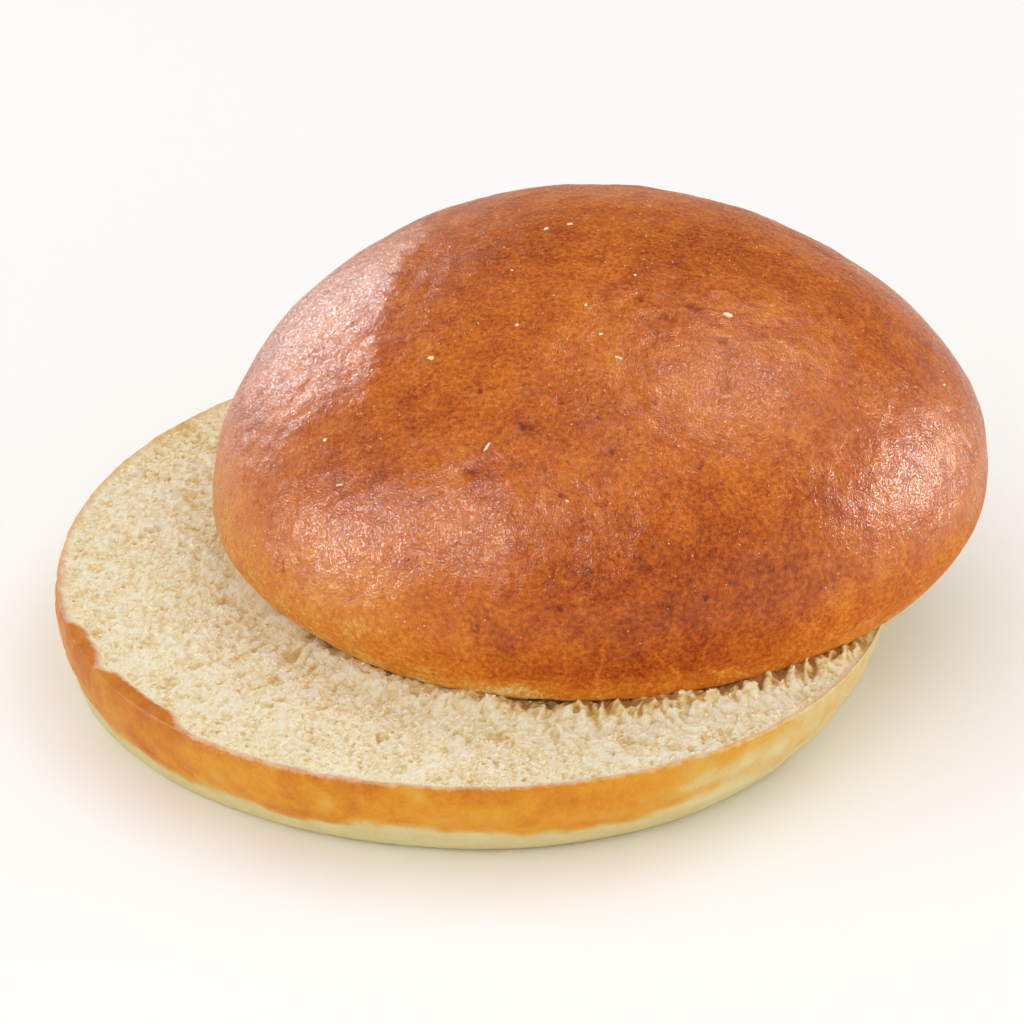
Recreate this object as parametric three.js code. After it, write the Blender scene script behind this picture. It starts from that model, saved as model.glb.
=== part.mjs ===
// A soft round bread roll, sliced through. The heel lies on its flat foot with its cut crumb
// face up, and the crown rests on that face, pushed back and to the right, cut side down.
// Millimetres, +Z up. The origin is on the heel's foot, below the centre of its cut face, and
// -Y is the side in front.
import * as THREE from "three";
import { mergeVertices } from "three/addons/utils/BufferGeometryUtils.js";

// The heel: the flat lower half.
const heelRadius = 54;
const heelThickness = 12.5;
const heelFootInset = 5.2; // how far the foot stands in from the cut edge
const heelSideRoundness = 1.45; // exponent of the side's curve, from the cut edge to the foot
const heelSideBulge = 0.35;
const heelSideShare = 0.32; // share of the lower sheet's rings that the side takes

// The crown: the domed upper half.
const crownRadius = 49.4; // at its widest, the girth
const crownHeight = 38.2;
const crownGirthHeight = 6.9; // above its own cut face
const crownRimShare = 0.957; // the cut edge is tucked in under the girth
const crownRoundness = 2.0;
const crownTuckShare = 0.1; // share of the dome's rings between the cut edge and the girth
const crownLean = [1.7, -0.7]; // how far its top stands over to the right, and back
const crownRight = 14;
const crownBack = 9.5;
const crownLift = 1.3; // between the two cut planes, as the crumb is rough
const crownTiltDeg = 0.7; // its right side a little high

// A soft crease runs down the front of the crown, where the dough was folded under.
const creaseTurn = -103; // degrees round the crown
const creaseHalfWidth = 4.5;
const creaseHeight = 0.7;
const creaseTop = 0.45; // share of the dome's rise that it reaches

// Baking leaves the outlines uneven: each lobe is [number round the roll, depth, turn in degrees].
const heelOutlineLobes = [[1, 0.2, 106], [2, 1.05, 75], [3, 1.0, -51], [4, 0.15, -38]];
const heelCutLobes = [[2, 0.65, -50]];
const heelInsetLobes = [[1, 3.6, -2], [2, 1.2, 58]];
const heelBulgeLobes = [[1, 0.5, -118]];
const crownOutlineLobes = [[3, 1.75, -14], [4, 0.3, 23]];
const crownRimLobes = [[1, 0.9, 65], [2, 0.85, -64], [3, 1.25, 26]];

// Relief of the crumb, where the knife opened its gas cells, and of the crust.
const cellPitches = [9, 5.5]; // spacing of the larger cells, coarse and medium
const cellDepths = [1.1, 0.7];
const crumbSwell = 0.35;
const crumbSwellSize = 11;
const crumbEdgeFade = 0.94; // the relief dies out from this share of the radius to the edge
const crustSwell = 0.4;
const crustSwellSize = 19;
const crustPucker = 0.18;
const crustPuckerSize = 7;

const segments = 40; // squares along each side of a sheet

const crustMaterial = new THREE.MeshStandardMaterial({ color: "#b9672c", roughness: 0.42, metalness: 0 });
const heelMaterial = new THREE.MeshStandardMaterial({ color: "#dcb878", roughness: 0.7, metalness: 0 });

const radians = THREE.MathUtils.degToRad;
const smoothstep = THREE.MathUtils.smoothstep;
const lerp = THREE.MathUtils.lerp;

function lobed(lobes, turn) {
  return lobes.reduce((sum, [count, depth, at]) => sum + depth * Math.cos(count * (turn - radians(at))), 0);
}

// A repeatable number from 0 to 1 for each corner of a lattice.
function chance(i, j, k) {
  const mixed = Math.sin(i * 127.1 + j * 311.7 + k * 74.7) * 43758.5453;
  return mixed - Math.floor(mixed);
}

// Soft swells of about the given size, from -1 to 1, smooth in all three directions.
function swell(x, y, z, size) {
  const corner = [x, y, z].map((value) => Math.floor(value / size));
  const part = [x, y, z].map((value, axis) => smoothstep(value / size - corner[axis], 0, 1));
  let sum = 0;
  for (const i of [0, 1])
    for (const j of [0, 1])
      for (const k of [0, 1]) {
        const weight = Math.abs(1 - i - part[0]) * Math.abs(1 - j - part[1]) * Math.abs(1 - k - part[2]);
        sum += weight * chance(corner[0] + i, corner[1] + j, corner[2] + k);
      }
  return 2 * sum - 1;
}

// Opened gas cells: one round pit in each square of a lattice, of its own size, place and depth.
function cells(x, y, pitch, salt) {
  const column = Math.floor(x / pitch);
  const row = Math.floor(y / pitch);
  let depth = 0;
  for (let i = column - 1; i <= column + 1; i++)
    for (let j = row - 1; j <= row + 1; j++) {
      const centreX = (i + 0.2 + 0.6 * chance(i, j, salt)) * pitch;
      const centreY = (j + 0.2 + 0.6 * chance(i, j, salt + 1)) * pitch;
      const radius = pitch * (0.3 + 0.3 * chance(i, j, salt + 2));
      const away = Math.hypot(x - centreX, y - centreY) / radius;
      if (away < 1) depth = Math.max(depth, (1 - away ** 2) ** 2 * (0.3 + 0.7 * chance(i, j, salt + 3)));
    }
  return depth;
}

// How far the cut face lies below the knife's plane at a point, always positive.
function crumbDepth(x, y, reach, salt) {
  const fade = 1 - smoothstep(reach, crumbEdgeFade, 1);
  const swelling = crumbSwell * (1 + swell(x, y, salt, crumbSwellSize));
  let opened = 0;
  cellPitches.forEach((pitch, n) => {
    opened += cellDepths[n] * cells(x, y, pitch, salt + 5 * n);
  });
  return fade * (swelling + opened);
}

function crustRelief(x, y, z) {
  return crustSwell * swell(x, y, z, crustSwellSize) + crustPucker * swell(x, y, z, crustPuckerSize);
}

// A square sheet laid over a disc so that the squares round its centre become circles.
// place(reach, turn) gives the point for a share of the radius and an angle.
function sheet(place, facesUp) {
  const geometry = new THREE.PlaneGeometry(2, 2, segments, segments);
  const position = geometry.getAttribute("position");
  for (let n = 0; n < position.count; n++) {
    const u = position.getX(n);
    const v = position.getY(n);
    const reach = Math.max(Math.abs(u), Math.abs(v));
    let turn = 0;
    if (reach > 0 && Math.abs(u) >= Math.abs(v)) turn = (Math.PI / 4) * (v / u) + (u < 0 ? Math.PI : 0);
    else if (reach > 0) turn = Math.PI / 2 - (Math.PI / 4) * (u / v) + (v < 0 ? Math.PI : 0);
    position.setXYZ(n, ...place(reach, turn));
  }
  if (!facesUp) {
    const index = geometry.getIndex();
    for (let n = 0; n < index.count; n += 3) {
      const kept = index.getX(n + 1);
      index.setX(n + 1, index.getX(n + 2));
      index.setX(n + 2, kept);
    }
  }
  return geometry;
}

// Two sheets that meet round the cut edge, as one closed surface.
function closedHalf(upper, lower) {
  const corners = [];
  for (const geometry of [upper, lower]) {
    const loose = geometry.toNonIndexed().getAttribute("position");
    corners.push(...loose.array);
  }
  const joined = new THREE.BufferGeometry();
  joined.setAttribute("position", new THREE.Float32BufferAttribute(corners, 3));
  const merged = mergeVertices(joined, 1e-3);
  merged.computeVertexNormals();
  return merged;
}

function heelEdge(turn) {
  return heelRadius + lobed(heelOutlineLobes, turn);
}

function heelCutHeight(reach, turn) {
  return heelThickness + lobed(heelCutLobes, turn) * reach ** 2;
}

function heelCutFace(reach, turn) {
  const x = heelEdge(turn) * reach * Math.cos(turn);
  const y = heelEdge(turn) * reach * Math.sin(turn);
  return [x, y, heelCutHeight(reach, turn) - crumbDepth(x, y, reach, 1)];
}

function heelUnderside(reach, turn) {
  const inset = heelFootInset + lobed(heelInsetLobes, turn);
  const down = Math.min(1, (1 - reach) / heelSideShare);
  const angle = (down * Math.PI) / 2;
  const inwards = inset * (1 - Math.cos(angle) ** (2 / heelSideRoundness));
  const bulge = (heelSideBulge + lobed(heelBulgeLobes, turn)) * Math.sin(Math.PI * Math.min(1, down * 1.6));
  const height = heelCutHeight(1, turn) * (1 - Math.sin(angle) ** (2 / heelSideRoundness));
  let radius = heelEdge(turn) - inwards + bulge;
  const relief = crustRelief(radius * Math.cos(turn), radius * Math.sin(turn), height);
  radius += relief * Math.sin(Math.PI * down);
  if (down === 1) radius *= reach / (1 - heelSideShare);
  return [radius * Math.cos(turn), radius * Math.sin(turn), height];
}

function crownGirth(turn) {
  return crownRadius + lobed(crownOutlineLobes, turn);
}

function crownRim(turn) {
  return crownGirth(turn) * crownRimShare + lobed(crownRimLobes, turn);
}

// How far the crease stands out of the dome at a point, for a share of the dome's rise.
function crease(turn, radius, share) {
  const away = (radius * Math.sin(turn - radians(creaseTurn))) / creaseHalfWidth;
  const front = Math.cos(turn - radians(creaseTurn)) > 0;
  return front ? creaseHeight * Math.exp(-(away ** 2)) * (1 - smoothstep(share, 0, creaseTop)) : 0;
}

function crownDome(reach, turn) {
  const rise = 1 - reach;
  if (rise <= crownTuckShare) {
    const share = rise / crownTuckShare;
    const radius = lerp(crownRim(turn), crownGirth(turn), Math.sin((share * Math.PI) / 2));
    return [radius * Math.cos(turn), radius * Math.sin(turn), crownGirthHeight * share];
  }
  const share = (rise - crownTuckShare) / (1 - crownTuckShare);
  const angle = (share * Math.PI) / 2;
  const outwards = Math.cos(angle) ** (2 / crownRoundness);
  const upwards = Math.sin(angle) ** (2 / crownRoundness);
  const radius = crownGirth(turn) * (rise === 1 ? 0 : outwards);
  const x = radius * Math.cos(turn) + crownLean[0] * upwards;
  const y = radius * Math.sin(turn) + crownLean[1] * upwards;
  const z = lerp(crownGirthHeight, crownHeight, upwards);
  const fade = smoothstep(rise, crownTuckShare, 3 * crownTuckShare);
  const relief = fade * (crustRelief(x, y, z) + crease(turn, radius, share));
  const steepness = (crownRadius / crownHeight) ** 2;
  const outward = new THREE.Vector3(x, y, (z - crownGirthHeight) * steepness).normalize();
  return [x + relief * outward.x, y + relief * outward.y, z + relief * outward.z];
}

function crownCutFace(reach, turn) {
  const x = crownRim(turn) * reach * Math.cos(turn);
  const y = crownRim(turn) * reach * Math.sin(turn);
  return [x, y, crumbDepth(x, y, reach, 21)];
}

const heel = new THREE.Mesh(closedHalf(sheet(heelCutFace, true), sheet(heelUnderside, false)), heelMaterial);
heel.name = "heel";

const crown = new THREE.Mesh(closedHalf(sheet(crownDome, true), sheet(crownCutFace, false)), crustMaterial);
crown.name = "crown";
crown.position.set(crownRight, crownBack, heelThickness + crownLift);
crown.rotation.y = -radians(crownTiltDeg);

const roll = new THREE.Group();
roll.add(heel, crown);

export default roll;
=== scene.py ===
# A soft bread roll cut through: its glossy domed crown lies on its heel, cut face to cut face.
# Sizes in the settings are millimetres and turned to metres where a mesh is finished.
# -Y is the side in front, and +Z is up.
import math
import random

import bmesh
import bpy
from mathutils import Matrix, Vector, kdtree, noise
from mathutils.bvhtree import BVHTree


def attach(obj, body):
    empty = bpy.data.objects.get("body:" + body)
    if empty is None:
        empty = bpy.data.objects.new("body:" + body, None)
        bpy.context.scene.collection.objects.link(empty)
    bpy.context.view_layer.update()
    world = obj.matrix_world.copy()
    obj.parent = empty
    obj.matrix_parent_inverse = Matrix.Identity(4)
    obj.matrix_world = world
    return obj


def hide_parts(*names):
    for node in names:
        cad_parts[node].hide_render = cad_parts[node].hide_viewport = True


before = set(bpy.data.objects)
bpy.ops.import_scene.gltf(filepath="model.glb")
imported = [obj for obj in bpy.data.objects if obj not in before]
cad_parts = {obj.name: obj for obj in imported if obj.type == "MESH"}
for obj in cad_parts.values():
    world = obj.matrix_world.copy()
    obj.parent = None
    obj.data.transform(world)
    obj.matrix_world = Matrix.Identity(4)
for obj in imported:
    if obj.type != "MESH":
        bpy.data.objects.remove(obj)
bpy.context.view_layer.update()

mm = 0.001

camera = {
    "target": (3.81, 14.22, 10),
    "elevation": 30,  # degrees
    "distance": 505,
    "lens": 135,
    "sensor": 36,
    "imageSide": 1024,  # pixels, for places that were read off the photo
}


# Small helpers

def smooth(value, low, high):
    share = min(1, max(0, (value - low) / (high - low)))
    return share * share * (3 - 2 * share)


def within(value, span):
    # rises from 0 to 1 over the first two values of the span and falls again over the last two
    return smooth(value, span[0], span[1]) * (1 - smooth(value, span[2], span[3]))


def mix(first, second, share):
    return first + (second - first) * share


def towards(turn, degrees):
    # 1 on the side that faces this way, 0 on the far half
    return max(0, math.cos(turn - math.radians(degrees)))


def lobed(lobes, turn):
    # each lobe is (how many round the roll, depth, turn in degrees)
    return sum(depth * math.cos(count * (turn - math.radians(at))) for count, depth, at in lobes)


def chance(i, j, k):
    mixed = math.sin(i * 127.1 + j * 311.7 + k * 74.7) * 43758.5453
    return mixed - math.floor(mixed)


def swell(x, y, z, size):
    # soft swells of one size, from -1 to 1
    low = [math.floor(value / size) for value in (x, y, z)]
    part = [smooth(value / size - floor, 0, 1) for value, floor in zip((x, y, z), low)]
    total = 0
    for i in (0, 1):
        for j in (0, 1):
            for k in (0, 1):
                weight = abs(1 - i - part[0]) * abs(1 - j - part[1]) * abs(1 - k - part[2])
                total += weight * chance(low[0] + i, low[1] + j, low[2] + k)
    return 2 * total - 1


# The baked outline of both halves

crust = {"swell": 0.4, "swellSize": 19, "pucker": 0.18, "puckerSize": 7}


def crustRelief(x, y, z):
    broad = crust["swell"] * swell(x, y, z, crust["swellSize"])
    return broad + crust["pucker"] * swell(x, y, z, crust["puckerSize"])


heel = {
    "radius": 54,
    "thickness": 12.5,
    "footInset": 5.2,
    "roundness": 1.45,
    "bulge": 0.35,
    "outline": [(1, 0.2, 106), (2, 1.05, 75), (3, 1.0, -51), (4, 0.15, -38)],
    "cut": [(2, 0.65, -50)],
    "inset": [(1, 3.6, -2), (2, 1.2, 58)],
    "bulges": [(1, 0.5, -118)],
    "cells": 158,  # squares along each sheet
    "hub": (11, 7.5),  # the cut face's rings close in here, under the crown
    "innerRings": 0.3,
    "innerShare": 0.66,
    "sideRings": 0.46,
    "facing": -125,  # degrees, the side that shows most has the finest mesh
    "crowding": 0.35,
}


def heelEdge(turn):
    return heel["radius"] + lobed(heel["outline"], turn)


def heelCutHeight(x, y):
    turn = math.atan2(y, x)
    out = math.hypot(x, y) / heelEdge(turn)
    return heel["thickness"] + lobed(heel["cut"], turn) * out ** 2


def heelCutFace(reach, turn):
    inner = heel["innerRings"]
    if reach < inner:
        share = heel["innerShare"] * reach / inner
    else:
        share = 1 - (1 - heel["innerShare"]) * (1 - reach) / (1 - inner)
    edge = heelEdge(turn)
    x = mix(heel["hub"][0], edge * math.cos(turn), share)
    y = mix(heel["hub"][1], edge * math.sin(turn), share)
    out = math.hypot(x, y) / heelEdge(math.atan2(y, x))
    return (x, y, heelCutHeight(x, y)), (1 - out) * heel["radius"]


def heelUnderside(reach, turn):
    inset = heel["footInset"] + lobed(heel["inset"], turn)
    down = min(1, (1 - reach) / heel["sideRings"])
    angle = down * math.pi / 2
    power = 2 / heel["roundness"]
    inwards = inset * (1 - max(0, math.cos(angle)) ** power)
    bulge = (heel["bulge"] + lobed(heel["bulges"], turn)) * math.sin(math.pi * min(1, down * 1.6))
    top = heel["thickness"] + lobed(heel["cut"], turn)
    z = top * (1 - math.sin(angle) ** power)
    radius = heelEdge(turn) - inwards + bulge
    relief = crustRelief(radius * math.cos(turn), radius * math.sin(turn), z)
    radius += relief * math.sin(math.pi * down)
    if down == 1:
        radius *= reach / (1 - heel["sideRings"])
    return (radius * math.cos(turn), radius * math.sin(turn), z), -(top - z) - 0.3 * inwards


crown = {
    "radius": 49.4,
    "height": 38.2,
    "girthHeight": 6.9,
    "rimShare": 0.957,
    "lean": (1.7, -0.7),
    "right": 14,
    "back": 9.5,
    "lift": 1.3,
    "tilt": 0.7,  # degrees, its right side a little high
    "outline": [(3, 1.75, -14), (4, 0.3, 23)],
    "rim": [(1, 0.9, 65), (2, 0.85, -64), (3, 1.25, 26)],
    "cells": 216,
    "tuckRings": 0.16,
    "facing": -90,
    "crowding": 0.25,
}
crease = {"turn": -103, "halfWidth": 4.5, "height": 0.7, "top": 0.45}


def crownGirth(turn):
    return crown["radius"] + lobed(crown["outline"], turn)


def crownRim(turn):
    return crownGirth(turn) * crown["rimShare"] + lobed(crown["rim"], turn)


def creaseRelief(turn, radius, share):
    # a soft fold that runs up the front of the crown
    away = turn - math.radians(crease["turn"])
    if math.cos(away) < 0:
        return 0
    bump = math.exp(-(radius * math.sin(away) / crease["halfWidth"]) ** 2)
    return crease["height"] * bump * (1 - smooth(share, 0, crease["top"]))


def crownSeat(x, y, z):
    # from the crown's own cut plane to where it lies on the heel
    tilt = math.radians(crown["tilt"])
    lifted = heel["thickness"] + crown["lift"]
    return (x * math.cos(tilt) - z * math.sin(tilt) + crown["right"],
            y + crown["back"],
            x * math.sin(tilt) + z * math.cos(tilt) + lifted)


def crownDome(reach, turn):
    rise = 1 - reach
    tuck = crown["tuckRings"]
    girth = crownGirth(turn)
    if rise <= tuck:
        share = rise / tuck
        radius = mix(crownRim(turn), girth, math.sin(share * math.pi / 2))
        z = crown["girthHeight"] * share
        return crownSeat(radius * math.cos(turn), radius * math.sin(turn), z), -z
    share = (rise - tuck) / (1 - tuck)
    angle = share * math.pi / 2
    radius = girth * max(0, math.cos(angle))
    up = math.sin(angle)
    x = radius * math.cos(turn) + crown["lean"][0] * up
    y = radius * math.sin(turn) + crown["lean"][1] * up
    z = mix(crown["girthHeight"], crown["height"], up)
    fade = smooth(share, 0, 0.2)
    relief = fade * (crustRelief(x, y, z) + creaseRelief(turn, radius, share))
    steepness = (crown["radius"] / crown["height"]) ** 2
    outward = Vector((x, y, (z - crown["girthHeight"]) * steepness)).normalized()
    place = Vector((x, y, z)) + relief * outward
    return crownSeat(*place), -z - 0.5 * (girth - radius)


def crownCutFace(reach, turn):
    radius = crownRim(turn) * reach
    return crownSeat(radius * math.cos(turn), radius * math.sin(turn), 0), crownRim(turn) - radius


def crownHeight(place):
    # how far a place lies above the crown's cut plane
    tilt = math.tan(math.radians(crown["tilt"]))
    return place[2] - heel["thickness"] - crown["lift"] - (place[0] - crown["right"]) * tilt


def outsideCrown(x, y):
    # how far a place on the heel lies outside the crown's rim
    x, y = x - crown["right"], y - crown["back"]
    return math.hypot(x, y) - crownRim(math.atan2(y, x))


# Two grids laid over a disc and joined round the cut edge make each half

def ringsOf(u, v, settings):
    # the squares round a grid's centre become circles
    reach = max(abs(u), abs(v))
    turn = 0
    if reach > 0 and abs(u) >= abs(v):
        turn = math.pi / 4 * v / u + (math.pi if u < 0 else 0)
    elif reach > 0:
        turn = math.pi / 2 - math.pi / 4 * u / v + (math.pi if v < 0 else 0)
    facing = math.radians(settings["facing"])
    return reach, turn - settings["crowding"] * math.sin(turn - facing)


rimReach = 0.99999  # a grid's outermost ring, which float rounding may leave a hair short
rimJoin = 0.001  # millimetres


def joinedHalf(settings, upper, lower):
    bm = bmesh.new()
    # "inside" is millimetres in from the cut edge, less than 0 on the crust
    for name in ("inside", "bake", "pore", "glaze"):
        bm.verts.layers.float.new(name)
    inside = bm.verts.layers.float["inside"]
    cells = settings["cells"]
    bmesh.ops.create_grid(bm, x_segments=cells, y_segments=cells, size=1)
    copied = bmesh.ops.duplicate(bm, geom=bm.verts[:] + bm.edges[:] + bm.faces[:])["geom"]
    below = [part for part in copied if isinstance(part, bmesh.types.BMFace)]
    bmesh.ops.reverse_faces(bm, faces=below)
    lowerVerts = {vert for part in below for vert in part.verts}
    rimVerts = []
    for vert in bm.verts:
        reach, turn = ringsOf(vert.co.x, vert.co.y, settings)
        if reach > rimReach:
            reach = 1
            rimVerts.append(vert)
        place = lower if vert in lowerVerts else upper
        vert.co, vert[inside] = place(reach, turn)
        if reach == 1:
            vert[inside] = 0
    bmesh.ops.remove_doubles(bm, verts=rimVerts, dist=rimJoin)
    bm.normal_update()
    return bm


# Marks that the photo shows, found where its pixels meet the bread

def sightLine(x, y):
    # from the camera through a pixel of the photo
    up = math.radians(camera["elevation"])
    forward = Vector((0, math.cos(up), -math.sin(up)))
    middle = camera["imageSide"] / 2
    spread = camera["sensor"] / 2 / camera["lens"] / middle
    across = Vector((1, 0, 0)) * (x - middle) * spread
    upwards = Vector((0, math.sin(up), math.cos(up))) * (middle - y) * spread
    eye = Vector(camera["target"]) - forward * camera["distance"]
    return eye, (forward + across + upwards).normalized()


def spotsAlong(surface, pixels, step):
    places = []
    for start, end in zip(pixels, pixels[1:] + pixels[-1:]):
        count = max(1, round(math.dist(start, end) / step))
        for n in range(count):
            x, y = mix(start[0], end[0], n / count), mix(start[1], end[1], n / count)
            hit = surface.ray_cast(*sightLine(x, y))
            if hit[0]:
                places.append(hit[0])
    return places


def nearMark(finder, places, reach):
    # how far each vertex within reach is from the mark's line
    nearest = {}
    for place in places:
        for _, index, distance in finder.find_range(place, reach):
            nearest[index] = min(distance, nearest.get(index, reach))
    return nearest


def finderOf(bm):
    finder = kdtree.KDTree(len(bm.verts))
    bm.verts.index_update()
    bm.verts.ensure_lookup_table()
    for vert in bm.verts:
        finder.insert(vert.co, vert.index)
    finder.balance()
    return finder


marking = {
    "step": (2, 4),  # pixels between the places along a mark: at least, and for each millimetre of its size
    "fineSize": 1,  # marks narrower than this need a finer mesh
    "fineReach": 1.6,  # how many sizes from its line the mesh is finer
    "reach": 2.2,  # how many sizes from its line a mark still shows
    "depth": 0.3,  # how far in from the cut edge a mark goes, unless its kind says so
}


def addMarks(bm, kinds):
    # dents, rings, cracks and ridges: each moves the crust and changes how deeply it is browned
    bake, glaze, inside = [bm.verts.layers.float[name] for name in ("bake", "glaze", "inside")]
    surface = BVHTree.FromBMesh(bm)
    least, perSize = marking["step"]
    marks = [(kind, spotsAlong(surface, pixels, max(least, perSize * kind["size"])))
             for kind in kinds.values() for pixels in kind["lines"]]
    finder = finderOf(bm)
    fine = set()
    for kind, places in marks:
        if kind["size"] < marking["fineSize"]:
            fine.update(nearMark(finder, places, kind.get("ring", 0) + marking["fineReach"] * kind["size"]))
    edges = [edge for edge in bm.edges if all(vert.index in fine for vert in edge.verts)]
    bmesh.ops.subdivide_edges(bm, edges=edges, cuts=2, use_grid_fill=True)
    bm.normal_update()
    finder = finderOf(bm)
    moves = {}
    for kind, places in marks:
        size, ring = kind["size"], kind.get("ring", 0)
        for index, distance in nearMark(finder, places, ring + marking["reach"] * size).items():
            vert = bm.verts[index]
            if vert[inside] > kind.get("depth", marking["depth"]):
                continue
            share = math.exp(-((distance - ring) / size) ** 2)
            moves[index] = moves.get(index, 0) + kind["height"] * share
            vert[bake] += kind["tone"] * share
            vert[glaze] *= 1 - kind.get("matte", 0) * share
            vert[inside] -= kind.get("climb", 0) * share
    for index, move in moves.items():
        bm.verts[index].co += move * bm.verts[index].normal
    bm.normal_update()


# The crumb: gas cells that the knife and the pull opened, with torn walls and ledges between

crumb = {
    "pores": [(2.8, 0.6, 0.15), (1.7, 0.42, 0.26), (1.0, 0.3, 0.45)],  # spacing, depth, share that is open
    "poreRadius": (0.3, 0.6),  # shares of the spacing
    "overlap": 0.4,  # share of a smaller pore's depth that adds to a deeper one's
    "pull": [(1.6, 0.5), (6, 0.8)],  # size and depth of the stretch that makes the pores uneven
    "ledges": [(6.5, 0.3), (3.1, 0.18)],  # size, height
    "tufts": [(1.9, 0.3), (1.0, 0.22)],
    "cleft": 3,  # how narrow the clefts between the tufts are
    "swell": 0.2,
    "swellSize": 11,
    "sideways": 0.28,
    "sidewaysSize": 1.1,
    "edgeFade": 2.2,
    "reach": 0.93,  # share of the gap under the crown that torn crumb fills
    "reachSpread": 4.5,  # how far out from under the crown it does
    "peakHeight": 0.8,
    "peakSize": 0.95,
    # painted shade in the hollows: how strongly they are darkened, between which depths
    "hollowShadeGain": 1.6,
    "hollowRange": (-0.12, 0.25),
    "hollowBlur": 3,  # how many rings of neighbours a hollow is measured against
    "bankHeight": 0.95,  # crumb that was squeezed up round the crown's rim
    "pulledSide": (-120, -85, 10, 45),  # degrees round the crown, in front and on the right
    # painted shadow: how brown the crumb is painted in the shade of the clefts of the torn rim under the
    # crown, how much less at their tips, and along the rim elsewhere
    "cleftShade": 1.4,
    "tipPaler": 1.15,
    "peakShade": 0.08,
    "elsewhereShade": 0.3,
    "brownerTone": 0.45,
    # millimetres out from the crown's rim where each starts, is full, still is full and ends
    "peaks": (-0.5, 0.8, 1.2, 4.5),
    "shade": (-2.5, -0.5, 0.3, 2.4),
    "shadeElsewhere": (-2, -0.3, 0.2, 1.2),
    "bank": (-2.5, -0.2, 0.6, 3.2),
    "browner": (34, 54),  # millimetres towards the back on the left
}


def openPore(place, spacing, share, salt):
    distances, points = noise.voronoi(Vector((place.x / spacing, place.y / spacing, salt)))
    centre = points[0]
    if chance(centre.x, centre.y, salt) > share:
        return 0
    least, most = crumb["poreRadius"]
    radius = mix(least, most, chance(centre.y, centre.x, salt + 1))
    away = distances[0] / radius
    return math.sqrt(1 - away * away) * (radius / most) if away < 1 else 0


def crumbDepth(place, salt):
    # how far the crumb lies under the knife's plane, and how much painted shade its pores and ledges get
    def pattern(size, at):
        return Vector((place.x / size, place.y / size, salt + at))

    pulled = place.copy()
    for n, (size, depth) in enumerate(crumb["pull"]):
        pulled += depth * noise.noise_vector(pattern(size, 3 * n))
    pores = [depth * openPore(pulled, spacing, share, salt + 7 * n)
             for n, (spacing, depth, share) in enumerate(crumb["pores"])]
    deep = max(pores) + crumb["overlap"] * (sum(pores) - max(pores))
    ledges = sum(height * smooth(noise.noise(pattern(size, 20)), -0.08, 0.08)
                 for size, height in crumb["ledges"])
    # rounded tufts with sharp clefts between them
    tufts = sum(height * max(0, 1 - crumb["cleft"] * abs(noise.noise(pattern(size, 30))))
                for size, height in crumb["tufts"])
    broad = crumb["swell"] * (1 + swell(place.x, place.y, salt, crumb["swellSize"]))
    return broad + deep + ledges + tufts, 0.5 * deep + 0.2 * ledges


def frontRight(place):
    # 1 on the side where the halves were pulled apart, in front and on the right
    turn = math.degrees(math.atan2(place.y - crown["back"], place.x - crown["right"]))
    return within(turn, crumb["pulledSide"])


def crumbReach(place):
    # torn crumb stands up to meet the crown where the halves lie on each other, with spiky tips on one side;
    # it also gives the painted shadow under the crown's rim
    tilt = math.tan(math.radians(crown["tilt"]))
    crownCut = crown["lift"] + heel["thickness"] + (place.x - crown["right"]) * tilt
    gap = crownCut - heelCutHeight(place.x, place.y)
    out = outsideCrown(place.x, place.y)
    pulled = frontRight(place)
    share = 1 - smooth(out, 0.2, crumb["reachSpread"])
    size = crumb["peakSize"]
    fibre = noise.noise(Vector((place.x / size, place.y / size / 1.5, 51)))
    spike = smooth(fibre + 0.6 * noise.noise(place / size * 2.1), -0.3, 0.6)
    near = within(out, crumb["peaks"]) * pulled
    near *= 0.75 + 0.7 * noise.noise(place / 3.5)
    # painted shadow: the crumb is painted brown in the shade under the crown's rim, most in the clefts
    # between the torn tips, less at the tips and on the other sides
    shadeAndBrown = within(out, crumb["shade"]) * pulled * (crumb["cleftShade"] - crumb["tipPaler"] * spike)
    shadeAndBrown += crumb["peakShade"] * near * (1 - spike)
    shadeAndBrown += crumb["elsewhereShade"] * within(out, crumb["shadeElsewhere"]) * (1 - pulled)
    # the crumb is browner at the back on the left
    browner = smooth(place.y - 0.4 * place.x, *crumb["browner"]) * (0.8 + 0.8 * noise.noise(place / 5))
    shadeAndBrown += crumb["brownerTone"] * browner
    bank = within(out, crumb["bank"]) * (0.75 + 0.6 * noise.noise(place / 2.4))
    raised = crumb["reach"] * gap * share + crumb["bankHeight"] * bank
    return raised + crumb["peakHeight"] * near * (spike - 0.25), shadeAndBrown


def roughen(bm, cutFacing, salt, skin, lift=None):
    # opens the crumb and gives the crust its fine unevenness
    inside = bm.verts.layers.float["inside"]
    pore = bm.verts.layers.float["pore"]
    moves = []
    for vert in bm.verts:
        place = vert.co.copy()
        edge = vert[inside]
        crumbShare = smooth(edge, -0.4, 0.9)
        move = Vector()
        if crumbShare > 0:
            depth, deep = crumbDepth(place, salt)
            fade = mix(0.3, 1, smooth(edge, 0, crumb["edgeFade"]))
            drift = noise.noise_vector(place / crumb["sidewaysSize"])
            sideways = Vector((drift.x, drift.y, 0)) * crumb["sideways"] * smooth(edge, 0.3, 3)
            raised, shadeAndBrown = lift(place) if lift else (0, 0)
            raised *= smooth(edge, 0, 2)
            move += crumbShare * (Vector((0, 0, cutFacing * (raised - depth * fade))) + sideways)
            # painted shade in the pores and hollows, and painted shadow under the crown's rim
            vert[pore] = crumbShare * (deep * fade + shadeAndBrown)
        if crumbShare < 1:
            move += (1 - crumbShare) * skin(place) * vert.normal
        moves.append(move)
    for vert, move in zip(bm.verts, moves):
        vert.co += move
    paintHollowShade(bm, cutFacing)


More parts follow.
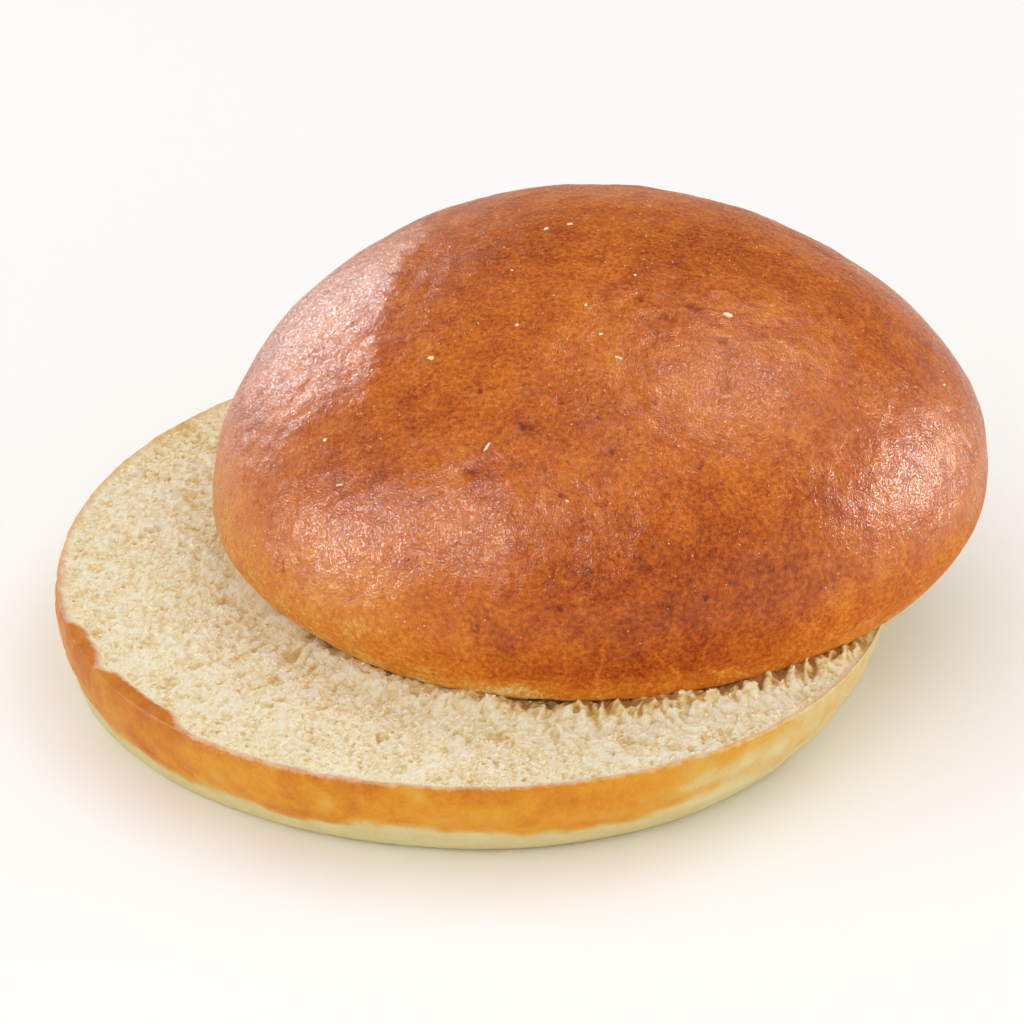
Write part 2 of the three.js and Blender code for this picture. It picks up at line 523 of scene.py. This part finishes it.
def paintHollowShade(bm, cutFacing):
    # painted shade: places lower than the crumb round them are painted darker, as pores are
    inside, pore = bm.verts.layers.float["inside"], bm.verts.layers.float["pore"]
    torn = [vert for vert in bm.verts if vert[inside] > 0.3]
    level = {vert: vert.co.z for vert in torn}
    for ring in range(crumb["hollowBlur"]):
        blurred = {}
        for vert in torn:
            near = [edge.other_vert(vert) for edge in vert.link_edges]
            blurred[vert] = sum(level.get(other, other.co.z) for other in near) / len(near)
        level = blurred
    least, most = crumb["hollowRange"]
    for vert in torn:
        vert[pore] += crumb["hollowShadeGain"] * min(most, max(least, cutFacing * (level[vert] - vert.co.z)))


def refineShown(bm):
    # a finer mesh where the torn crumb shows
    inside = bm.verts.layers.float["inside"]
    shown = {vert for vert in bm.verts if vert[inside] > -0.4 and outsideCrown(vert.co.x, vert.co.y) > -2}
    edges = [edge for edge in bm.edges if all(vert in shown for vert in edge.verts)]
    bmesh.ops.subdivide_edges(bm, edges=edges, cuts=1, use_grid_fill=True)
    bm.normal_update()


skins = {
    # size and height of the leathery folds and of the fine ones
    "heel": {"leathery": (3.2, 0.16), "fine": (0.9, 0.03)},
    "crown": {"leathery": (3.4, 0.08), "fine": (1.1, 0.03)},
}


def skinRelief(place, skin):
    size, height = skin["leathery"]
    leathery = height * (noise.turbulence(place / size, 3, False) - 0.5)
    size, height = skin["fine"]
    return leathery + height * noise.noise(place / size)


def heelSkin(place):
    # none on the foot, which stays flat
    return smooth(place.z, 0.2, 2) * skinRelief(place, skins["heel"])


def crownSkin(place):
    return skinRelief(place, skins["crown"])


def finishMesh(bm, name, faceted=False):
    bmesh.ops.scale(bm, vec=(mm, mm, mm), verts=bm.verts[:])
    mesh = bpy.data.meshes.new(name)
    bm.to_mesh(mesh)
    bm.free()
    if not faceted:
        mesh.shade_smooth()
    piece = bpy.data.objects.new(name, mesh)
    bpy.context.collection.objects.link(piece)
    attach(piece, "root")
    print(name + ":", len(mesh.polygons), "faces")
    return piece


# Materials

def linear(hexColour):
    # an sRGB hex colour as linear RGBA
    values = [int(hexColour[n:n + 2], 16) / 255 for n in (1, 3, 5)]
    return [*((v / 12.92 if v < 0.04045 else ((v + 0.055) / 1.055) ** 2.4) for v in values), 1]


def addNode(tree, kind, settings=None, links=None):
    # settings and links by a socket's name or number, or a setting of the node itself
    node = tree.nodes.new(kind)
    for name, value in (settings or {}).items():
        if name == "stops":
            ramp = node.color_ramp
            while len(ramp.elements) < len(value):
                ramp.elements.new(1)
            for element, (position, colour) in zip(ramp.elements, value):
                element.position = position
                element.color = linear(colour)
        elif isinstance(name, str) and hasattr(node, name):
            setattr(node, name, value)
        else:
            node.inputs[name].default_value = value
    for name, source in (links or {}).items():
        tree.links.new(source, node.inputs[name])
    return node


def newMaterial(name, settings):
    material = bpy.data.materials.new(name)
    material.use_nodes = True
    shader = material.node_tree.nodes["Principled BSDF"]
    for socket, value in settings.items():
        shader.inputs[socket].default_value = value
    return material, material.node_tree, shader


crumbFinish = {
    "mottle": 2.6,  # millimetres
    "mottleDepth": 0.7,
    "fibre": 0.42,
    "fibreDepth": 0.6,
    # how much darker the painted shade of pores, hollows and the crown's rim makes the crumb
    "poreShadeDepth": 0.75,
    "least": -0.56,
    "ragged": 1.6,  # the uneven line between crust and crumb
    "raggedDepth": 1.7,
    "lineWidth": (0.4, 1.9),  # from crust to crumb, millimetres in from the cut edge
    "fluff": 0.3,
    "stops": [(0, "#faf0d8"), (0.28, "#f0dcac"), (0.6, "#dfba72"), (1, "#b98242")],
}


def breadColour(tree, point, crustColour, crustLine):
    # crumb: cream at the torn tips, painted darker and more buttery down in the pores, the hollows and under
    # the crown's rim, as painted shade
    mottle = addNode(tree, "ShaderNodeTexNoise", {"Scale": 1 / (crumbFinish["mottle"] * mm), "Detail": 2},
                     {"Vector": point})
    fibre = addNode(tree, "ShaderNodeTexNoise", {"Scale": 1 / (crumbFinish["fibre"] * mm), "Detail": 2},
                    {"Vector": point})
    pore = addNode(tree, "ShaderNodeAttribute", {"attribute_name": "pore"})
    tone = addNode(tree, "ShaderNodeMath", {"operation": "MULTIPLY_ADD", 1: crumbFinish["poreShadeDepth"],
                                            2: crumbFinish["least"]}, {0: pore.outputs["Fac"]})
    tone = addNode(tree, "ShaderNodeMath", {"operation": "MULTIPLY_ADD", 1: crumbFinish["mottleDepth"]},
                   {0: mottle.outputs["Fac"], 2: tone.outputs[0]})
    tone = addNode(tree, "ShaderNodeMath", {"operation": "MULTIPLY_ADD", 1: crumbFinish["fibreDepth"]},
                   {0: fibre.outputs["Fac"], 2: tone.outputs[0]})
    cream = addNode(tree, "ShaderNodeValToRGB", {"stops": crumbFinish["stops"]}, {"Fac": tone.outputs[0]})
    # crust outside, crumb inside, with a ragged line between them
    wander = addNode(tree, "ShaderNodeTexNoise", {"Scale": 1 / (crumbFinish["ragged"] * mm), "Detail": 3,
                                                  "Roughness": 0.7}, {"Vector": point})
    inside = addNode(tree, "ShaderNodeAttribute", {"attribute_name": "inside"})
    edge = addNode(tree, "ShaderNodeMath", {"operation": "MULTIPLY_ADD", 1: crumbFinish["raggedDepth"]},
                   {0: wander.outputs["Fac"], 2: inside.outputs["Fac"]})
    start, end = crumbFinish["lineWidth"]
    share = addNode(tree, "ShaderNodeMapRange", {"From Min": crustLine + start, "From Max": crustLine + end},
                    {"Value": edge.outputs[0]})
    both = addNode(tree, "ShaderNodeMix", {"data_type": "RGBA"},
                   {0: share.outputs[0], 6: crustColour, 7: cream.outputs["Color"]})
    return both.outputs[2]


def bakedAndShadedColour(tree, point, finish):
    # how deeply each place is browned, with painted light and shade on the crown's sides, cloudy patches and
    # fine freckles
    bake = addNode(tree, "ShaderNodeAttribute", {"attribute_name": "bake"})
    cloud = addNode(tree, "ShaderNodeTexNoise", {"Scale": 1 / (finish["cloud"] * mm), "Detail": 2},
                    {"Vector": point})
    freckle = addNode(tree, "ShaderNodeTexNoise", {"Scale": 1 / (finish["freckle"] * mm), "Detail": 3,
                                                   "Roughness": 0.8}, {"Vector": point})
    middle = -0.5 * (finish["cloudDepth"] + finish["freckleDepth"])
    tone = addNode(tree, "ShaderNodeMath", {"operation": "ADD", 1: middle}, {0: bake.outputs["Fac"]})
    tone = addNode(tree, "ShaderNodeMath", {"operation": "MULTIPLY_ADD", 1: finish["cloudDepth"]},
                   {0: cloud.outputs["Fac"], 2: tone.outputs[0]})
    tone = addNode(tree, "ShaderNodeMath", {"operation": "MULTIPLY_ADD", 1: finish["freckleDepth"]},
                   {0: freckle.outputs["Fac"], 2: tone.outputs[0]})
    ramp = addNode(tree, "ShaderNodeValToRGB", {"stops": finish["stops"]}, {"Fac": tone.outputs[0]})
    return ramp.outputs["Color"]


crownFinish = {
    "cloud": 3.4,  # millimetres, as the other sizes
    "cloudDepth": 0.4,
    "freckle": 0.6,
    "freckleDepth": 1.15,
    "fold": 2.4,
    "foldHeight": 0.15,
    "wrinkle": 0.32,
    "wrinkleHeight": 0.055,
    "speckle": 0.3,
    "speckleFloor": 0.14,
    "crustLine": 0.3,
    "stops": [(0, "#efdcaa"), (0.16, "#e6b661"), (0.34, "#e08c30"), (0.56, "#cd6d20"), (0.78, "#ab4c18"),
              (1, "#7a2e0f")],
    "shader": {"Roughness": 0.6, "Specular IOR Level": 0.06, "Coat Roughness": 0.1, "Coat IOR": 1.45},
}
heelFinish = {
    "cloud": 2.8,
    "cloudDepth": 0.5,
    "freckle": 0.5,
    "freckleDepth": 0.36,
    "fold": 3,
    "foldHeight": 0.2,
    "wrinkle": 0.5,
    "wrinkleHeight": 0.05,
    "speckle": 0.6,
    "speckleFloor": 0.4,
    "crustLine": 0,
    "stops": [(0, "#ddd3a2"), (0.3, "#dcbf7c"), (0.5, "#dcaa49"), (0.75, "#df9629"), (1, "#c8701a")],
    "shader": {"Roughness": 0.5, "Specular IOR Level": 0.1, "Coat Roughness": 0.28, "Coat IOR": 1.45},
}


glazeGrain = (0.47, 0.57)  # values of the noise between bare and fully glazed


def makeCrustMaterial(name, finish):
    # an egg-washed crust: a thin clear glaze over a browned skin, whose wrinkles break up its highlights
    material, tree, shader = newMaterial(name, finish["shader"])
    point = addNode(tree, "ShaderNodeTexCoord").outputs["Object"]
    colour = breadColour(tree, point, bakedAndShadedColour(tree, point, finish), finish["crustLine"])
    tree.links.new(colour, shader.inputs["Base Color"])
    # the dried egg wash is grainy, so a highlight breaks up into fine sparks
    speckle = addNode(tree, "ShaderNodeTexNoise", {"Scale": 1 / (finish["speckle"] * mm), "Detail": 1,
                                                   "Roughness": 0.65}, {"Vector": point})
    start, end = glazeGrain
    grains = addNode(tree, "ShaderNodeMapRange",
                     {"From Min": start, "From Max": end, "To Min": finish["speckleFloor"]},
                     {"Value": speckle.outputs["Fac"]})
    glaze = addNode(tree, "ShaderNodeAttribute", {"attribute_name": "glaze"})
    shine = addNode(tree, "ShaderNodeMath", {"operation": "MULTIPLY"},
                    {0: glaze.outputs["Fac"], 1: grains.outputs[0]})
    tree.links.new(shine.outputs[0], shader.inputs["Coat Weight"])
    fold = addNode(tree, "ShaderNodeTexNoise", {"Scale": 1 / (finish["fold"] * mm), "Detail": 1},
                   {"Vector": point})
    folds = addNode(tree, "ShaderNodeBump", {"Distance": finish["foldHeight"] * 2 * mm},
                    {"Height": fold.outputs["Fac"]})
    wrinkle = addNode(tree, "ShaderNodeTexNoise", {"Scale": 1 / (finish["wrinkle"] * mm), "Detail": 2,
                                                   "Roughness": 0.65}, {"Vector": point})
    wrinkles = addNode(tree, "ShaderNodeBump", {"Distance": finish["wrinkleHeight"] * 2 * mm},
                       {"Height": wrinkle.outputs["Fac"], "Normal": folds.outputs["Normal"]})
    tree.links.new(wrinkles.outputs["Normal"], shader.inputs["Normal"])
    tree.links.new(wrinkles.outputs["Normal"], shader.inputs["Coat Normal"])
    return material


def makeCrumbMaterial(name, finish):
    # airy crumb: light soaks in and scatters, so it has soft, warm shadows and no gloss
    material, tree, shader = newMaterial(name, {
        "Roughness": 0.9, "Specular IOR Level": 0.2, "Subsurface Weight": 0.4,
        "Subsurface Radius": (1, 0.8, 0.55), "Subsurface Scale": 0.3 * mm})
    point = addNode(tree, "ShaderNodeTexCoord").outputs["Object"]
    colour = breadColour(tree, point, bakedAndShadedColour(tree, point, finish), finish["crustLine"])
    tree.links.new(colour, shader.inputs["Base Color"])
    fluff = addNode(tree, "ShaderNodeTexNoise", {"Scale": 1 / (crumbFinish["fibre"] * mm), "Detail": 3,
                                                 "Roughness": 0.65}, {"Vector": point})
    bump = addNode(tree, "ShaderNodeBump", {"Strength": 1, "Distance": crumbFinish["fluff"] * mm},
                   {"Height": fluff.outputs["Fac"]})
    tree.links.new(bump.outputs["Normal"], shader.inputs["Normal"])
    return material


def splitCrust(bm):
    # the crust's faces and the crumb's
    inside = bm.verts.layers.float["inside"]
    for face in bm.faces:
        face.material_index = 0 if sum(vert[inside] for vert in face.verts) < 0.4 else 1


# The heel

heelMarks = {
    "dents": {"size": 1.1, "height": -0.25, "tone": -0.25, "lines": [[(325, 805)], [(410, 790), (414, 797)]]},
    "specks": {"size": 0.5, "height": 0, "tone": 0.35, "lines": [[(110, 465)], [(180, 440)], [(233, 745)]]},
    "floury": {"size": 1.6, "height": 0.1, "tone": -0.3, "lines": [[(690, 787), (780, 748)]]},
    "climbing": {"size": 2.4, "height": 0.15, "tone": 0.06, "climb": 2.4, "depth": 5,
                 "lines": [[(112, 680), (135, 698), (160, 714)], [(76, 634), (84, 652)]]},
}


heelTone = {
    "pale": 0.06,  # the unbaked band
    "golden": 0.62,
    "glaze": 0.16,
    # how high the golden skin starts, in millimetres
    "low": 3.2,
    "lowWander": (7, 1.2),  # size, height
    "lowRight": 2.7,  # how much higher on the right
    "rises": [(-97, 15, 2.6), (-59, 9, 2)],  # degrees round, half width in degrees, height
    "edge": (1.1, 1.3),  # how far below and above that it fades
    "edgeRight": 1.5,
    "edgeWander": (2.2, 0.8),
    # degrees round where the skin is higher, and paler, on the right
    "right": (-76, -56, 60, 150),
    "palerSide": (-80, -18, 60, 150),
    "paler": 0.4,
    "deeper": (-140, 0.12),  # degrees, tone
    "patches": (11, 0.14),
    "backLeft": -0.3,
    "byCut": 0.1,
    "byCutHeight": (8.5, 12),
}


def tintHeel(bm):
    bake = bm.verts.layers.float["bake"]
    glaze = bm.verts.layers.float["glaze"]
    tone = heelTone
    for vert in bm.verts:
        turn = math.atan2(vert.co.y, vert.co.x)
        degrees = math.degrees(turn)
        lowWander, edgeWander, patches = [
            depth * noise.noise(vert.co / size)
            for size, depth in (tone["lowWander"], tone["edgeWander"], tone["patches"])]
        right = within(degrees, tone["right"])
        # how far down the side the golden skin reaches before the pale, unbaked band
        low = tone["low"] + tone["lowRight"] * right + lowWander
        low += sum(height * math.exp(-((degrees - at) / width) ** 2) for at, width, height in tone["rises"])
        below, above = tone["edge"]
        band = smooth(vert.co.z + edgeWander, low - below - tone["edgeRight"] * right, low + above)
        facing, depth = tone["deeper"]
        deeper = depth * math.cos(turn - math.radians(facing)) + patches
        paler = tone["paler"] * within(degrees, tone["palerSide"])
        backLeft = smooth(math.sin(turn), -0.1, 0.4) * smooth(-math.cos(turn), 0, 0.5)
        away = smooth(-math.cos(turn - math.radians(30)), 0, 0.6)
        byCut = tone["byCut"] * smooth(vert.co.z, *tone["byCutHeight"]) * away
        vert[bake] = tone["pale"] + band * (
            tone["golden"] + deeper + byCut - paler + tone["backLeft"] * backLeft)
        vert[glaze] = tone["glaze"] * band


def makeHeel():
    bm = joinedHalf(heel, heelCutFace, heelUnderside)
    refineShown(bm)
    tintHeel(bm)
    addMarks(bm, heelMarks)
    roughen(bm, 1, 1, heelSkin, crumbReach)
    splitCrust(bm)
    inside, pore = bm.verts.layers.float["inside"], bm.verts.layers.float["pore"]
    # where grains can lie: open crumb that shows, out of the painted shade of pores and of the crown's rim
    shownCrumb = [vert.co.copy() for vert in bm.verts
                  if vert[inside] > 0.8 and vert[pore] < 0.3 and outsideCrown(vert.co.x, vert.co.y) > -2]
    piece = finishMesh(bm, "heelBread")
    piece.data.materials.append(makeCrustMaterial("golden heel crust", heelFinish))
    piece.data.materials.append(makeCrumbMaterial("heel crumb", heelFinish))
    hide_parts("heel")
    return shownCrumb


# The crown

crownMarks = {
    "pocks": {"size": 0.55, "height": -0.18, "tone": 0.24, "matte": 0.4,
              "lines": [[(660, 314), (670, 319)], [(689, 304), (698, 308)], [(675, 263)],
                        [(522, 426), (530, 427)], [(560, 401)], [(466, 470), (473, 471)],
                        [(640, 298)], [(722, 340)]]},
    "pits": {"size": 0.3, "height": -0.12, "tone": 0.4,
             "lines": [[(560, 496)], [(612, 452)], [(598, 418)], [(545, 470)], [(700, 470)], [(768, 372)],
                       [(540, 250)], [(600, 262)], [(712, 288)], [(745, 300)], [(655, 402)], [(480, 392)],
                       [(705, 600)], [(640, 560)], [(560, 610)], [(420, 500)], [(372, 540)], [(350, 600)]]},
    "blisters": {"size": 0.2, "ring": 0.7, "height": 0.1, "tone": 0.3, "lines": [[(280, 565)]]},
    "smallBlisters": {"size": 0.16, "ring": 0.42, "height": 0.1, "tone": 0.28,
                      "lines": [[(475, 628)], [(732, 387)]]},
    "cracks": {"size": 0.2, "height": -0.12, "tone": -0.24, "matte": 1,
               "lines": [[(607, 640), (601, 652), (603, 664), (597, 676), (598, 690)],
                         [(656, 655), (662, 663), (672, 667), (680, 677)], [(706, 648), (703, 662)],
                         [(706, 668), (718, 674), (732, 669), (745, 675)],
                         [(794, 620), (806, 630), (812, 627), (820, 631)],
                         [(899, 532), (907, 547), (903, 562), (912, 576), (925, 590)]]},
    "notches": {"size": 1.4, "height": -0.2, "tone": -0.2, "matte": 1,
                "lines": [[(490, 694), (515, 690), (540, 696)], [(236, 592), (246, 600)]]},
    "ridges": {"size": 5, "height": 0.4, "tone": 0,
               "lines": [[(428, 222), (398, 262), (378, 305), (372, 350), (370, 392)]]},
    "ridgeCrests": {"size": 1.7, "height": 0.2, "tone": 0,
                    "lines": [[(436, 228), (412, 256), (392, 292), (380, 330), (374, 368), (372, 400)],
                              [(508, 478), (503, 512), (506, 545)]]},
}


crownTone = {
    "rim": 0.32,  # 0 is pale dough and 1 is nearly burnt
    "patches": [(14, 0.07), (6, 0.05)],  # size, tone
    # a zone has its tone, the degrees it faces and how narrow it is, and heights where it starts and ends;
    # the zones that face a side are partly real browning and partly painted light and shade: lighter low on
    # the left where the light falls, darker in front, on the right and on the upper left under its highlight,
    # lighter on top at the back
    "bakeAndLightZones": [{"tone": 0.09, "start": (0, 5)},
              {"tone": 0.22, "start": (2, 20)},
              {"tone": -0.1, "facing": -155, "end": (8, 26)},
              {"tone": 0.25, "facing": -84, "narrow": 8, "start": (0, 5), "end": (12, 28)},
              {"tone": 0.05, "facing": 20, "start": (2, 20)},
              {"tone": 0.1, "facing": -50, "end": (4, 14)},
              {"tone": -0.09, "facing": 90, "start": (24, 36)},
              {"tone": 0.08, "facing": 150, "start": (12, 20)}],
    # the egg wash starts this high, and lower on the left
    "glazeHeight": (5, 12),
    "glazeWander": (6, 2),
    "glazeLeft": 4,
    "dullTop": (18, 30),
    "dull": 0.5,
}


def zoneShare(zone, turn, height):
    share = 1
    if "facing" in zone:
        share = towards(turn, zone["facing"]) ** zone.get("narrow", 1)
    if "start" in zone:
        share *= smooth(height, *zone["start"])
    if "end" in zone:
        share *= 1 - smooth(height, *zone["end"])
    return share


def tintCrown(bm):
    bake = bm.verts.layers.float["bake"]
    glaze = bm.verts.layers.float["glaze"]
    tone = crownTone
    for vert in bm.verts:
        turn = math.atan2(vert.co.y - crown["back"], vert.co.x - crown["right"])
        height = crownHeight(vert.co)
        broad = sum(depth * noise.noise(vert.co / size) for size, depth in tone["patches"])
        # real browning, with painted light and shade on the sides the zones face
        bakeAndLightZones = sum(zone["tone"] * zoneShare(zone, turn, height) for zone in tone["bakeAndLightZones"])
        vert[bake] = tone["rim"] + bakeAndLightZones + broad
        size, depth = tone["glazeWander"]
        washed = height + depth * noise.noise(vert.co / size) + tone["glazeLeft"] * towards(turn, 180)
        dull = tone["dull"] * smooth(height, *tone["dullTop"]) * smooth(math.sin(turn), 0, 0.8)
        vert[glaze] = smooth(washed, *tone["glazeHeight"]) * (1 - dull)


def makeCrown():
    bm = joinedHalf(crown, crownDome, crownCutFace)
    tintCrown(bm)
    addMarks(bm, crownMarks)
    roughen(bm, -1, 21, crownSkin)
    splitCrust(bm)
    surface = BVHTree.FromBMesh(bm)
    piece = finishMesh(bm, "crownBread")
    piece.data.materials.append(makeCrustMaterial("egg-washed crown crust", crownFinish))
    piece.data.materials.append(makeCrumbMaterial("crown crumb", crownFinish))
    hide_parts("crown")
    return surface


# Flecks and crumbs that lie on the roll

grains = {
    "uneven": 0.07,  # share of a grain's size
    "batch": 60,  # made a few dozen at a time, because one large mesh is slow to add to
}


def addGrain(bm, place, normal, size, squash, detail):
    # an uneven grain, laid flat and turned any way
    lie = normal.to_track_quat("Z", "Y").to_matrix().to_4x4()
    spin = Matrix.Rotation(random.uniform(0, math.tau), 4, "Z")
    shape = Matrix.Diagonal((size / 2, size / 2 * squash[0], size / 2 * squash[1], 1))
    matrix = Matrix.Translation(place) @ lie @ spin @ shape
    grain = bmesh.ops.create_icosphere(bm, subdivisions=detail, radius=1, matrix=matrix)
    for vert in grain["verts"]:
        jitter = Vector([random.uniform(-1, 1) for axis in range(3)])
        vert.co += jitter * size * grains["uneven"]


def joinedGrains(rows):
    whole = bmesh.new()
    for start in range(0, len(rows), grains["batch"]):
        batch = bmesh.new()
        for row in rows[start:start + grains["batch"]]:
            addGrain(batch, *row)
        mesh = bpy.data.meshes.new("batch")
        batch.to_mesh(mesh)
        batch.free()
        whole.from_mesh(mesh)
        bpy.data.meshes.remove(mesh)
    return whole


flecks = {
    # pixels of the photo, length and width in millimetres
    "places": [(431, 358, 0.9, 0.7), (487, 447, 1.3, 0.3), (619, 358, 1, 0.3), (601, 334, 0.5, 0.4),
               (728, 315, 1.2, 0.7), (546, 229, 0.9, 0.5), (570, 224, 0.8, 0.6), (517, 325, 0.5, 0.5),
               (512, 270, 0.5, 0.3), (586, 305, 0.5, 0.4), (635, 275, 0.5, 0.3), (567, 501, 0.4, 0.3),
               (944, 385, 0.8, 0.2), (340, 485, 1.1, 0.2), (325, 440, 0.6, 0.5)],
    # tiny cream grains scattered over the dome: partly dough dust, partly painted glints that stand in for
    # sparkles of light
    "dustAndGlints": 600,
    "dustSize": (0.12, 0.26),
    "dustLowest": 0.2,  # share of the way up the dome
    "dustFrom": 100,  # well outside the crown
}


def makeFlecks(surface):
    rows = []
    for x, y, length, width in flecks["places"]:
        place, normal = surface.ray_cast(*sightLine(x, y))[:2]
        rows.append((place, normal, length, (width / length, 0.35), 2))
    middle = Vector((crown["right"], crown["back"], heel["thickness"]))
    for n in range(flecks["dustAndGlints"]):
        around = random.uniform(0, math.tau)
        up = math.asin(random.uniform(flecks["dustLowest"], 1))
        out = Vector((math.cos(around) * math.cos(up), math.sin(around) * math.cos(up), math.sin(up)))
        place, normal = surface.ray_cast(middle + flecks["dustFrom"] * out, -out)[:2]
        rows.append((place, normal, random.uniform(*flecks["dustSize"]), (0.7, 0.5), 1))
    piece = finishMesh(joinedGrains(rows), "creamFlecks", faceted=True)
    # dried flecks of dough: cream, dry and a little translucent; the tiny dust among them is partly painted
    # glints
    material = newMaterial("dried dough flecks", {
        "Roughness": 0.5, "Base Color": linear("#f3e0b8"),
        "Subsurface Weight": 0.3, "Subsurface Scale": 0.3 * mm})[0]
    piece.data.materials.append(material)


crumbs = {
    "crust": 34,
    "crustSize": (0.35, 0.95),
    "tufts": 3000,
    "tuftSize": (0.35, 0.85),
}


def makeCrumbs(shownCrumb):
    bm = joinedGrains([(place, Vector((0, 0, 1)), random.uniform(*crumbs["crustSize"]), (0.7, 0.5), 1)
                       for place in random.sample(shownCrumb, crumbs["crust"])])
    piece = finishMesh(bm, "crustCrumbs", faceted=True)
    # bits that the knife broke off the crust: golden and dry
    material = newMaterial("crust crumbs", {"Roughness": 0.7, "Base Color": linear("#e0a452")})[0]
    piece.data.materials.append(material)

    tufts = []
    for place in random.sample(shownCrumb, crumbs["tufts"]):
        lean = Vector((random.uniform(-1, 1), random.uniform(-1, 1), 1)).normalized()
        tufts.append((place, lean, random.uniform(*crumbs["tuftSize"]), (0.45, 0.5), 1))
    bm = joinedGrains(tufts)
    piece = finishMesh(bm, "crumbTufts", faceted=True)
    # torn tips of crumb: cream, matte and soft in their shadows
    material = newMaterial("torn crumb tufts", {
        "Roughness": 0.9, "Base Color": linear("#fbf0cc"), "Specular IOR Level": 0.2})[0]
    piece.data.materials.append(material)


# The table, the lights and the camera

def makeTable():
    bm = bmesh.new()
    bmesh.ops.create_grid(bm, x_segments=1, y_segments=1, size=3)
    mesh = bpy.data.meshes.new("table")
    bm.to_mesh(mesh)
    bm.free()
    table = bpy.data.objects.new("table", mesh)
    bpy.context.collection.objects.link(table)
    # a painted board: nearly white, with no gloss to mirror the roll
    material = newMaterial("pale matte board", {"Base Color": linear("#fbfaf8"), "Roughness": 0.8})[0]
    mesh.materials.append(material)


softboxes = {
    # degrees round from straight behind to the right, degrees up, distance, width and height in metres;
    # the ones without diffuse light only make highlights, and the ones without gloss only fill
    "overhead": {"at": (0, 88, 1.2), "size": (2.6, 2.6), "radiance": 1.08, "glossy": False},
    "backLeft": {"at": (-32, 8, 1.1), "size": (0.54, 0.36), "radiance": 10.5, "diffuse": False},
    "left": {"at": (-105, 15, 1.1), "size": (0.5, 0.42), "radiance": 32, "diffuse": False,
             "colour": "#fff8ee"},
    "leftFront": {"at": (-146, 44, 1.2), "size": (0.64, 0.5), "radiance": 19, "diffuse": False,
                  "colour": "#fffaf2"},
    "leftFill": {"at": (-110, 14, 1.5), "size": (1.2, 0.6), "radiance": 1.6, "glossy": False},
    "right": {"at": (55, 63, 1.1), "size": (0.36, 0.32), "radiance": 24, "diffuse": False,
              "colour": "#fff6e8"},
    "rightLow": {"at": (80, 9, 1.1), "size": (0.46, 0.5), "radiance": 30, "diffuse": False,
                 "colour": "#fff8ee"},
    "rightFront": {"at": (127, 8, 1.2), "size": (0.7, 0.4), "radiance": 2.6, "colour": "#fff3dc"},
    "rightFill": {"at": (85, 14, 1.5), "size": (1.2, 0.6), "radiance": 1.2, "glossy": False},
    "frontFill": {"at": (180, 16, 1.5), "size": (1.8, 0.8), "radiance": 0.7, "glossy": False},
}
skyStrength = 0.25


def makeLights():
    aim = Vector((10, 8, 20)) * mm
    for name, softbox in softboxes.items():
        around, up, distance = softbox["at"]
        width, height = softbox["size"]
        light = bpy.data.lights.new(name, "AREA")
        light.shape = "RECTANGLE"
        light.size = width
        light.size_y = height
        light.energy = softbox["radiance"] * math.pi * width * height
        light.color = linear(softbox.get("colour", "#ffffff"))[:3]
        box = bpy.data.objects.new(name, light)
        bpy.context.collection.objects.link(box)
        around, up = math.radians(around), math.radians(up)
        out = Vector((math.cos(up) * math.sin(around), math.cos(up) * math.cos(around), math.sin(up)))
        box.location = aim + out * distance
        box.rotation_euler = (-out).to_track_quat("-Z", "Y").to_euler()
        box.visible_glossy = softbox.get("glossy", True)
        box.visible_diffuse = softbox.get("diffuse", True)
    world = bpy.data.worlds.new("studio")
    bpy.context.scene.world = world
    world.use_nodes = True
    world.node_tree.nodes["Background"].inputs["Color"].default_value = (1, 1, 1, 1)
    world.node_tree.nodes["Background"].inputs["Strength"].default_value = skyStrength
    world.cycles_visibility.glossy = False


def makeCamera():
    data = bpy.data.cameras.new("camera")
    data.lens = camera["lens"]
    data.sensor_width = camera["sensor"]
    data.clip_end = 10
    eye = bpy.data.objects.new("camera", data)
    bpy.context.collection.objects.link(eye)
    up = math.radians(camera["elevation"])
    back = Vector((0, -math.cos(up), math.sin(up)))
    eye.location = (Vector(camera["target"]) + back * camera["distance"]) * mm
    eye.rotation_euler = (math.radians(90) - up, 0, 0)
    bpy.context.scene.camera = eye
    bpy.context.scene.view_settings.view_transform = "Standard"


random.seed(7)
noise.seed_set(7)  # or the vector noise starts from the clock
makeCamera()
makeCrumbs(makeHeel())
makeFlecks(makeCrown())
makeTable()
makeLights()
print("table, lights and camera: in place")
